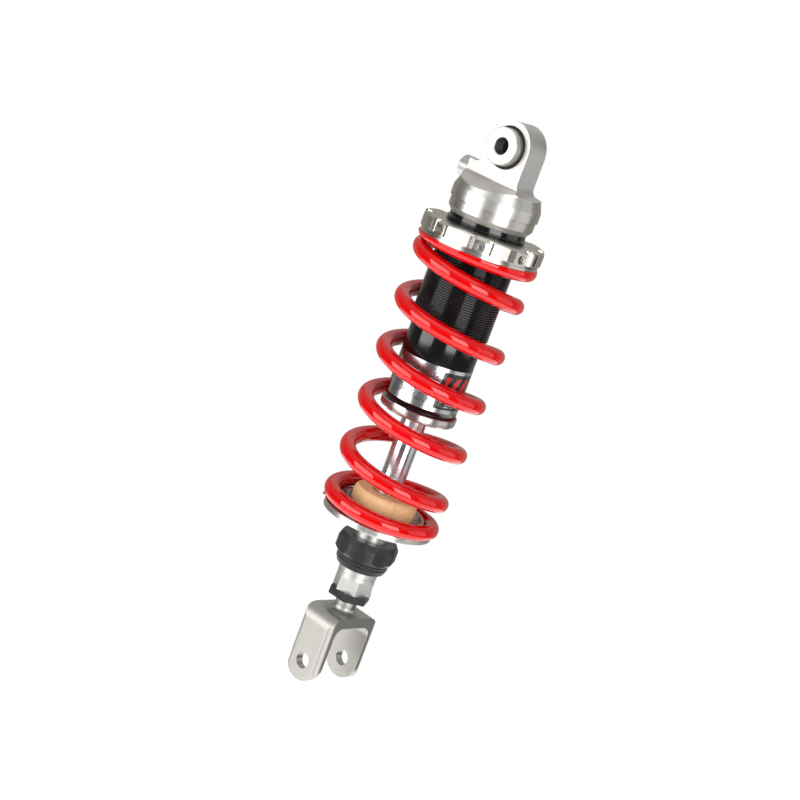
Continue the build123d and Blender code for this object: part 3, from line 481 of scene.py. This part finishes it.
tube_black = black_skin("tube_black", colour(8, 8, 9), colour(26, 26, 29), 0.12, 1.6, 0.001, 0.04)
knob_black = black_skin("knob_black", colour(16, 16, 18), colour(48, 48, 53), 0.36, 1.5, 0.006)
index_black = black_skin("index_black", colour(8, 8, 9), colour(26, 26, 29), 0.42, 1.4, 0.006)
seal_rubber = black_skin("seal_rubber", colour(26, 24, 23), colour(44, 41, 39), 0.6, 1.4, 0.012)
slide_ptfe = black_skin("slide_ptfe", colour(62, 74, 66), colour(96, 108, 98), 0.5, 1.4, 0.004)
print("black finishes ready")

# %% Foam
def foam_finish():
    """Micro-cellular foam: pale tan, with pores of two sizes."""
    finish = Finish("foam_tan", Specular_IOR_Level=0.25, Subsurface_Weight=0.06,
                    Subsurface_Radius=(0.0012, 0.0007, 0.0004))
    spot = finish.node("ShaderNodeVectorMath", {"operation": "SCALE"},
                       {0: finish.place(), "Scale": 0.8})
    cells = finish.node("ShaderNodeTexVoronoi", {"feature": "F1"}, {"Vector": spot, "Scale": 1.0})
    pores = finish.step(cells, 0.14, 0.36, 1.0, 0.0)
    few = finish.step(finish.noise(3.0, 1.0), 0.52, 0.66)
    fine = finish.noise(0.4, 3.0, 0.6)
    cloud = finish.noise(9.0, 2.0)
    body = finish.mix(cloud, colour(222, 182, 130), colour(232, 196, 148))
    # painted shade: the pores are painted darker, as shade inside the pits
    tint = finish.mix(pores * few * 0.75, body, colour(146, 98, 54))
    relief = finish.bump(fine * 0.3 - pores * few, 0.16)
    rough = 0.72 + (fine - 0.5) * 0.2
    return finish.feed(Base_Color=tint, Roughness=rough, Normal=relief)


foam_tan = foam_finish()
print("foam ready")

# %% [markdown]
# ## Spring paint
#
# The spring is powder coated: a thick glossy red over steel. Powder flows as it cures and leaves a
# faint orange peel, which breaks the edges of the reflections. The coat layer of the Principled
# shader gives the gloss, and a soft noise bump gives the peel. The paint below the coat has no shine
# of its own, or its broad highlight would turn the red pink.

# %% Paint
def spring_paint():
    finish = Finish("spring_red", Coat_Weight=1.0, Coat_Roughness=0.03, Specular_IOR_Level=0.0)
    peel = finish.noise(2.4, 1.5, 0.4)
    cloud = finish.noise(20.0, 2.0)
    speck = finish.noise(0.5, 1.0)
    tint = finish.mix(cloud, colour(192, 0, 2), colour(206, 2, 4))
    rough = 0.22 + (speck - 0.5) * 0.1
    relief = finish.bump(peel, 0.012)
    return finish.feed(Base_Color=tint, Roughness=rough, Normal=relief)


spring_red = spring_paint()
print("paint ready")

# %% [markdown]
# ## The label
#
# A foil label wraps the lower end of the tube. Labels like it carry a name and small print. This one
# keeps the layout only: a silver ground with rows of small dashes, and a black panel with a pale
# outline and slanted red bars. Each mark is a mask made from the height on the tube and the distance round
# it, so that no picture is needed.

# %% Label finish
LABEL_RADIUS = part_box("tube_label")[1].x / MM
LABEL_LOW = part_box("tube_label")[0].z / MM
LABEL_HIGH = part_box("tube_label")[1].z / MM
FRONT = TURN - pi / 2
# the layout in millimetres: round the tube from the line that faces the camera, then up from below
PANEL_LEFT, PANEL_RIGHT = 7.0, 46.0
PANEL_LOW, PANEL_TOP_GAP = 2.6, 2.2
RIM_WIDTH = 0.7
BAR_LEFT, BAR_RIGHT = 9.5, 42.0
BAR_PITCH, BAR_SHARE, BAR_LEAN = 7.5, 0.52, 0.42
ROW_PITCH = 1.35


def label_finish():
    finish = Finish("label_film", Coat_Weight=0.6, Coat_Roughness=0.08)
    x, y, z = finish.axes()
    front_x = x * cos(FRONT) + y * sin(FRONT)
    front_y = y * cos(FRONT) - x * sin(FRONT)
    round_way = finish.node("ShaderNodeMath", {"operation": "ARCTAN2"},
                            {0: front_y, 1: front_x}) * LABEL_RADIUS
    height = z - LABEL_LOW
    tall = LABEL_HIGH - LABEL_LOW

    def box_mask(left, right_side, low, high):
        """1 inside that rectangle, measured round the tube and up from the label's lower edge."""
        return (round_way > left) * (round_way < right_side) * (height > low) * (height < high)

    panel_high = tall - PANEL_TOP_GAP
    panel = box_mask(PANEL_LEFT, PANEL_RIGHT, PANEL_LOW, panel_high)
    around = box_mask(PANEL_LEFT - RIM_WIDTH, PANEL_RIGHT + RIM_WIDTH, PANEL_LOW - RIM_WIDTH,
                      panel_high + RIM_WIDTH)
    panel_rim = around * (1 - panel)
    slant = round_way - height * BAR_LEAN
    bars = (slant / BAR_PITCH).fraction() < BAR_SHARE
    bars = bars * box_mask(BAR_LEFT, BAR_RIGHT, tall * 0.38, tall - 4.8)
    rows = (height / ROW_PITCH).fraction()
    marks = finish.noise(0.9, 0.0, 0.5, (1, 1, 0.35))
    print_rows = (rows < 0.5) * (marks > 0.5)
    left_print = print_rows * box_mask(-24.0, PANEL_LEFT - 2.2, 3.4, tall - 3.4)
    panel_print = print_rows * box_mask(10.0, 30.0, 3.8, tall * 0.31)
    cloud = finish.noise(7.0, 2.0)
    foil = finish.mix(cloud, colour(190, 190, 196), colour(214, 214, 218))
    tint = finish.mix(left_print, foil, colour(40, 40, 44))
    tint = finish.mix(panel, tint, colour(15, 15, 17))
    tint = finish.mix(panel_print, tint, colour(190, 190, 194))
    tint = finish.mix(panel_rim, tint, colour(206, 206, 210))
    tint = finish.mix(bars, tint, colour(196, 20, 24))
    printed = 1 - (1 - panel) * (1 - left_print)
    metal = 1 - printed
    rough = 0.24 + printed * 0.1 + (cloud - 0.5) * 0.08
    return finish.feed(Base_Color=tint, Roughness=rough, Metallic=metal)


label_film = label_finish()
print("label ready")

# %% [markdown]
# ## Making meshes
#
# Most pieces here are round, so one helper spins a closed outline about the axis. Sharp corners stay
# sharp where the outline turns by more than a given angle, and everything else is smooth.

# %% Mesh helpers
def add_piece(name, points, faces, finish, body=None, sharp=radians(30)):
    """A mesh piece in metres from points in millimetres."""
    mesh = bpy.data.meshes.new(name)
    mesh.from_pydata([(px * MM, py * MM, pz * MM) for px, py, pz in points], [], faces)
    mesh.validate()
    mesh.shade_smooth()
    mesh.set_sharp_from_angle(angle=sharp)
    mesh.materials.append(finish)
    piece = bpy.data.objects.new(name, mesh)
    scene.collection.objects.link(piece)
    if body:
        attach(piece, body)
    print(name, len(faces), "faces")
    return piece


def spin_outline(outline, columns):
    """Points and faces of a closed outline of (radius, height) turned about the axis."""
    points = []
    for radius, height in outline:
        for column in range(columns):
            angle = 2 * pi * column / columns
            points.append((radius * cos(angle), radius * sin(angle), height))
    faces = []
    for row in range(len(outline)):
        other = (row + 1) % len(outline)
        for column in range(columns):
            beside = (column + 1) % columns
            faces.append((row * columns + column, row * columns + beside,
                          other * columns + beside, other * columns + column))
    return points, faces


# %% [markdown]
# ## The threaded tube
#
# The upper half of the tube carries the thread that the preload collar runs on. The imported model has
# plain rings there, because collision needs no more. A thread is one ridge that winds down, so a short
# profile is carried round the tube on a helix, 1.5 mm lower after each turn. Its last point is its
# own first point one turn on, and the two share their vertices, so the whole thread is one skin.
# The ridge fades in over the first half turn and out over the last.

# %% Sizes of the tube
COLUMNS = 96
THREAD_PITCH = 1.5
THREAD_DEPTH = 0.9
THREAD_TURNS = 45
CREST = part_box("damper_tube")[1].x / MM
ROOT = CREST - THREAD_DEPTH
TUBE_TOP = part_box("damper_tube")[1].z / MM
TUBE_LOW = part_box("damper_tube")[0].z / MM
LABEL_THICKNESS = 0.12
HEAD_FIT = 0.02
LEAD_IN = 1.2
TUBE_RADIUS = LABEL_RADIUS - LABEL_THICKNESS
BORE_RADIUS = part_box("seal_head")[1].x / MM + HEAD_FIT
THREAD_START = TUBE_TOP - LEAD_IN
RELIEF_ABOVE, RELIEF_BELOW, STEP_BELOW = 0.6, 0.3, 1.1
END_BEVEL, TOP_BEVEL = 0.4, 0.2
# how far down the pitch each point of the ridge lies, and how high it stands
PROFILE = ((0.00, 0.0), (0.10, 0.0), (0.34, 0.62), (0.44, 0.92), (0.54, 1.0), (0.66, 1.0),
           (0.76, 0.92), (0.86, 0.62))
print("tube from", round(TUBE_TOP, 1), "to", round(TUBE_LOW, 1), "mm")

# %% Threaded tube
def threaded_tube():
    """Points and faces of the tube: the thread, a plain lower half, and the bore."""
    rows = len(PROFILE)
    last = THREAD_TURNS * COLUMNS
    fade = COLUMNS / 2
    points = []
    for step in range(last + COLUMNS + 1):
        angle = 2 * pi * step / COLUMNS
        strength = min(1.0, step / fade, max(0.0, last - step) / fade)
        for down, rise in (PROFILE if step <= last else PROFILE[:1]):
            radius = ROOT + THREAD_DEPTH * rise * strength
            height = THREAD_START - THREAD_PITCH * (step / COLUMNS + down)
            points.append((radius * cos(angle), radius * sin(angle), height))

    def at(step, row):
        """Which point that is. The one after a profile's last is its first, one turn on."""
        if row == rows:
            step, row = step + COLUMNS, 0
        return step * rows + row if step <= last else last * rows + rows + step - last - 1

    def ring(radius, height):
        start = len(points)
        for column in range(COLUMNS):
            angle = 2 * pi * column / COLUMNS
            points.append((radius * cos(angle), radius * sin(angle), height))
        return [start + column for column in range(COLUMNS)]

    faces = [(at(step, row), at(step, row + 1), at(step + 1, row + 1), at(step + 1, row))
             for step in range(last) for row in range(rows)]
    top = ring(ROOT, THREAD_START + RELIEF_ABOVE)
    for column in range(COLUMNS - 1):
        faces.append((top[column], at(column, 0), at(column + 1, 0), top[column + 1]))
    seam = [at(0, row) for row in range(rows, -1, -1)]
    faces.append((top[-1], at(COLUMNS - 1, 0), *seam, top[0]))

    thread_low = THREAD_START - THREAD_PITCH * (THREAD_TURNS + 1)
    low = ring(ROOT, thread_low - RELIEF_BELOW)
    seam = [at(last, row) for row in range(rows + 1)]
    faces.append((*seam, low[0], low[1], at(last + 1, 0)))
    for column in range(1, COLUMNS):
        faces.append((at(last + column, 0), low[column], low[(column + 1) % COLUMNS],
                      at(last + column + 1, 0)))

    rings = [low]
    for radius, height in ((TUBE_RADIUS, thread_low - STEP_BELOW), (TUBE_RADIUS, TUBE_LOW + END_BEVEL),
                           (TUBE_RADIUS - END_BEVEL, TUBE_LOW), (BORE_RADIUS, TUBE_LOW),
                           (BORE_RADIUS, TUBE_TOP), (ROOT - TOP_BEVEL, TUBE_TOP)):
        rings.append(ring(radius, height))
    rings.append(top)
    for above, below in zip(rings, rings[1:]):
        for column in range(COLUMNS):
            beside = (column + 1) % COLUMNS
            faces.append((above[column], below[column], below[beside], above[beside]))
    return points, faces


tube = add_piece("damper_tube_threaded", *threaded_tube(), tube_black, "damper_body", radians(50))
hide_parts("damper_tube")

# %% [markdown]
# ## The spring
#
# The spring is closed and ground flat at both ends, and open between. The wire's centre therefore
# follows a law of pitch: small at the ends, large in the middle, with a short change between. Adding
# up the pitch gives the height at any turn.
#
# A real spring shares its squeeze between all its open coils, and its wire stays round. Flattening
# one mesh would squash the wire too. So the wire is cut into quarter turns, in two runs: the upper
# coils and the rest. The two ground ends go with the upper and lower seats. For each quarter between,
# a share of the travel is worked out along the wire, but it is not applied, and the quarter is not
# attached to a body. The cuts meet face to face and carry the same normals, so they don't show.

# %% The wire's path
WIRE_RADIUS = 5.0
SPRING_LOW, SPRING_HIGH = (corner.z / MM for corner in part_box("spring"))
RING_PAST_WIRE = 4.0
COIL_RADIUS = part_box("upper_thrust_ring")[1].x / MM - RING_PAST_WIRE
TIP_TURN = FRONT - pi / 2
TURNS = 7.0
TIP_ABOVE, TIP_BELOW = 0.8, 2.5
OPENING, OPEN, CLOSING, CLOSED = 0.71, 1.157, 5.6, 6.07
UPPER_PITCH, LOWER_PITCH = 7.6, 10.0
OPEN_PITCH = ((SPRING_HIGH - SPRING_LOW + TIP_ABOVE + TIP_BELOW
               - UPPER_PITCH * (OPENING + OPEN) / 2 - LOWER_PITCH * (TURNS - (CLOSING + CLOSED) / 2))
              / ((CLOSING + CLOSED - OPENING - OPEN) / 2))
PITCH_LAW = ((0, UPPER_PITCH), (OPENING, UPPER_PITCH), (OPEN, OPEN_PITCH), (CLOSING, OPEN_PITCH),
             (CLOSED, LOWER_PITCH), (TURNS, LOWER_PITCH))


def wire_at(turn):
    """The wire's height and pitch after so many turns from the upper tip."""
    height = SPRING_HIGH + TIP_ABOVE
    pitch = UPPER_PITCH
    for (turn_a, pitch_a), (turn_b, pitch_b) in zip(PITCH_LAW, PITCH_LAW[1:]):
        inside = min(max(turn, turn_a), turn_b) - turn_a
        pitch_end = pitch_a + (pitch_b - pitch_a) * inside / (turn_b - turn_a)
        height -= inside * (pitch_a + pitch_end) / 2
        if inside > 0:
            pitch = pitch_end
    return height, pitch


def wire_centre(turn):
    angle = TIP_TURN + 2 * pi * turn
    return Vector((COIL_RADIUS * cos(angle), COIL_RADIUS * sin(angle), wire_at(turn)[0]))


print("open pitch", round(OPEN_PITCH, 2), "mm, coil radius", round(COIL_RADIUS, 2), "mm")

# %% A length of wire
RING_POINTS = 40
ROWS_PER_TURN = 144


def wire_length(name, first, last):
    """A closed length of round wire between two turns, its flats ground at the spring's ends."""
    rows = round((last - first) * ROWS_PER_TURN)
    points = []
    normals = []
    for row in range(rows + 1):
        turn = first + (last - first) * row / rows
        angle = TIP_TURN + 2 * pi * turn
        outward = Vector((cos(angle), sin(angle), 0))
        along = Vector((-sin(angle), cos(angle), -wire_at(turn)[1] / (2 * pi * COIL_RADIUS)))
        across = along.normalized().cross(outward)
        centre = wire_centre(turn)
        for spot in range(RING_POINTS):
            swing = 2 * pi * spot / RING_POINTS
            normal = outward * cos(swing) + across * sin(swing)
            point = centre + normal * WIRE_RADIUS
            ground = min(max(point.z, SPRING_LOW), SPRING_HIGH)
            if point.z != ground:
                # the part beyond the grinding plane folds onto the flat that the plane cuts
                half_flat = sqrt(max(0.0, WIRE_RADIUS ** 2 - (ground - centre.z) ** 2))
                aside = min(max(cos(swing) * WIRE_RADIUS, -half_flat), half_flat)
                normal = Vector((0, 0, 1 if point.z > ground else -1))
                point = centre + outward * aside
                point.z = ground
            points.append(point)
            normals.append(normal)
    faces = []
    for row in range(rows):
        for spot in range(RING_POINTS):
            here = row * RING_POINTS
            beside = (spot + 1) % RING_POINTS
            faces.append((here + spot, here + beside, here + RING_POINTS + beside,
                          here + RING_POINTS + spot))
    faces.append(tuple(range(RING_POINTS - 1, -1, -1)))
    faces.append(tuple(range(rows * RING_POINTS, (rows + 1) * RING_POINTS)))
    piece = add_piece(name, points, faces, spring_red)
    mesh = piece.data
    corner_normals = []
    for face in mesh.polygons:
        for vertex in face.vertices:
            corner_normals.append(face.normal if len(face.vertices) > 4 else normals[vertex])
    mesh.normals_split_custom_set(corner_normals)
    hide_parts("spring")
    return piece


# %% The coils in quarter turns
def unsmooth(share):
    return 0.5 - sin(asin(1 - 2 * share) / 3)


def share_out(count):
    """Shares of the travel at the ends of so many lengths, gentle at both ends and even between."""
    return [0.0] + [(index - 0.5) / (count - 1) for index in range(1, count)] + [1.0]


def bend_wire(label, first, last):
    """Quarter turns of wire. Their shares of the two bodies' motion are worked out along the wire but not
    applied.
    """
    count = round((last - first) * 4)
    shares = [unsmooth(share) for share in share_out(count)]
    for index in range(count):
        begin = first + index / 4
        piece = wire_length("%s_%02d" % (label, index + 1), begin, begin + 0.25)
        angle = TIP_TURN + 2 * pi * (begin + 0.125)
        heading = Vector((-sin(angle), cos(angle), 0))
        near = wire_centre(begin).dot(heading) * MM
        far = wire_centre(begin + 0.25).dot(heading) * MM
        reach = (far - near) / (shares[index + 1] - shares[index])
        start = near - shares[index] * reach
        heading * start
        heading * (start + reach)
        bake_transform(piece)


UPPER_END, MIDDLE, LOWER_END = 0.75, 2.0, 6.25
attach(wire_length("spring_upper_end", 0.0, UPPER_END), "upper_seat")
bend_wire("spring_upper_coil", UPPER_END, MIDDLE)
bend_wire("spring_coil", MIDDLE, LOWER_END)
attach(wire_length("spring_lower_end", LOWER_END, TURNS), "lower_seat")

# %% [markdown]
# ## The foam bump stop
#
# The stop is a ring of micro-cellular foam that cushions the last of the travel. It has moulded
# shape but a skin that is never quite true, so the spun mesh is dense enough to be pushed in and out
# a few tenths of a millimetre by noise, and its finish adds the pores.

# %% Foam stop
from mathutils import noise as field

FOAM_LOW, FOAM_HIGH = (corner.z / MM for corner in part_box("bump_stop"))
FOAM_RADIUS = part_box("bump_stop")[1].x / MM
FOAM_BORE = 8.35
FOAM_COLUMNS = 160
FOAM_SIDE_GAP, FOAM_TOP_GAP = 0.15, 0.2
FOAM_FOOT = 0.9
SHOULDER_WIDTH, SHOULDER_HEIGHT, SHOULDER_STEPS = 2.6, 5.3, 12
FLAT_INNER = 10.2
# the uneven skin: how wide and how deep its lumps and dimples are, and how far it is drawn in
LUMP_SIZE, LUMP_DEPTH = 7, 0.16
DIMPLE_SIZE, DIMPLE_DEPTH = 1.6, 0.05
DRAWN_IN = 0.1


def foam_outline():
    """The stop's closed outline: a straight side, a rounded shoulder, a flat top and the bore."""
    side = FOAM_RADIUS - FOAM_SIDE_GAP
    tall = FOAM_HIGH - FOAM_LOW
    top = FOAM_HIGH - FOAM_TOP_GAP
    straight = top - SHOULDER_HEIGHT - FOAM_LOW - FOAM_FOOT
    outline = [(side - 0.8, FOAM_LOW), (side - 0.2, FOAM_LOW + 0.3)]
    for step in range(SHOULDER_STEPS + 1):
        outline.append((side, FOAM_LOW + FOAM_FOOT + straight * step / SHOULDER_STEPS))
    for step in range(1, SHOULDER_STEPS + 1):
        swing = pi / 2 * step / SHOULDER_STEPS
        outline.append((side - SHOULDER_WIDTH * (1 - cos(swing)), top - SHOULDER_HEIGHT * (1 - sin(swing))))
    flat = side - SHOULDER_WIDTH - FLAT_INNER
    outline += [(side - SHOULDER_WIDTH - flat * step / 6, top) for step in range(1, 6)]
    outline += [(FOAM_BORE + 1.3, FOAM_HIGH - 0.5), (FOAM_BORE + 0.4, FOAM_HIGH - 1.4)]
    outline += [(FOAM_BORE + 0.1, FOAM_HIGH - 2.0 - (tall - 2.4) * step / 6) for step in range(7)]
    outline.append((FOAM_BORE + 2.2, FOAM_LOW))
    return outline


def foam_mesh():
    points, faces = spin_outline(foam_outline(), FOAM_COLUMNS)
    uneven = []
    for x, y, z in points:
        radius = sqrt(x * x + y * y)
        outer = min(1.0, max(0.0, (radius - 11) / 4))
        spot = Vector((x, y, z))
        lump = field.noise(spot / LUMP_SIZE) * LUMP_DEPTH
        dimple = field.noise(spot / DIMPLE_SIZE) * DIMPLE_DEPTH
        push = (lump + dimple) * outer
        scale = 1 + (push - DRAWN_IN * outer) / radius
        near_top = min(1.0, max(0.0, (z - FOAM_LOW - 8) / 4)) * outer
        uneven.append((x * scale, y * scale, z + (push - DRAWN_IN) * near_top))
    return uneven, faces


foam = add_piece("bump_stop_foam", *foam_mesh(), foam_tan, "lower_seat", radians(60))
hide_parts("bump_stop")

# %% [markdown]
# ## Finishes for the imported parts
#
# Every other part keeps its own shape from the model and only takes a finish. The record already
# says what each part is made of, so one table turns those names into finishes, and a short second
# table covers the few parts that differ from their neighbours.

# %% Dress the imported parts
BY_MATERIAL = {
    "machined_aluminium": seat_silver, "satin_fork": fork_silver, "black_anodised": tube_black,
    "black_plastic": index_black, "black_steel": black_steel, "chrome": rod_chrome,
    "spring_red": spring_red, "foam_tan": foam_tan, "label_film": label_film,
    "rubber": seal_rubber, "steel": bright_steel, "bearing_bronze": bearing_bronze,
    "valve_brass": valve_brass, "ptfe": slide_ptfe,
}
BY_NODE = {
    "end_cap": cap_silver, "preload_collar": collar_silver, "rod_end": hexagon_silver,
    "upper_spacer_front": spacer_silver, "upper_spacer_rear": spacer_silver,
    "upper_sleeve": black_steel, "rebound_knob": knob_black,
}
for part in frame["record"]["subparts"]:
    finish = BY_NODE.get(part["node"], BY_MATERIAL[part["material_slot"]])
    mesh = nodes[part["node"]].data
    mesh.materials.clear()
    mesh.materials.append(finish)
    print(part["node"], "wears", finish.name)
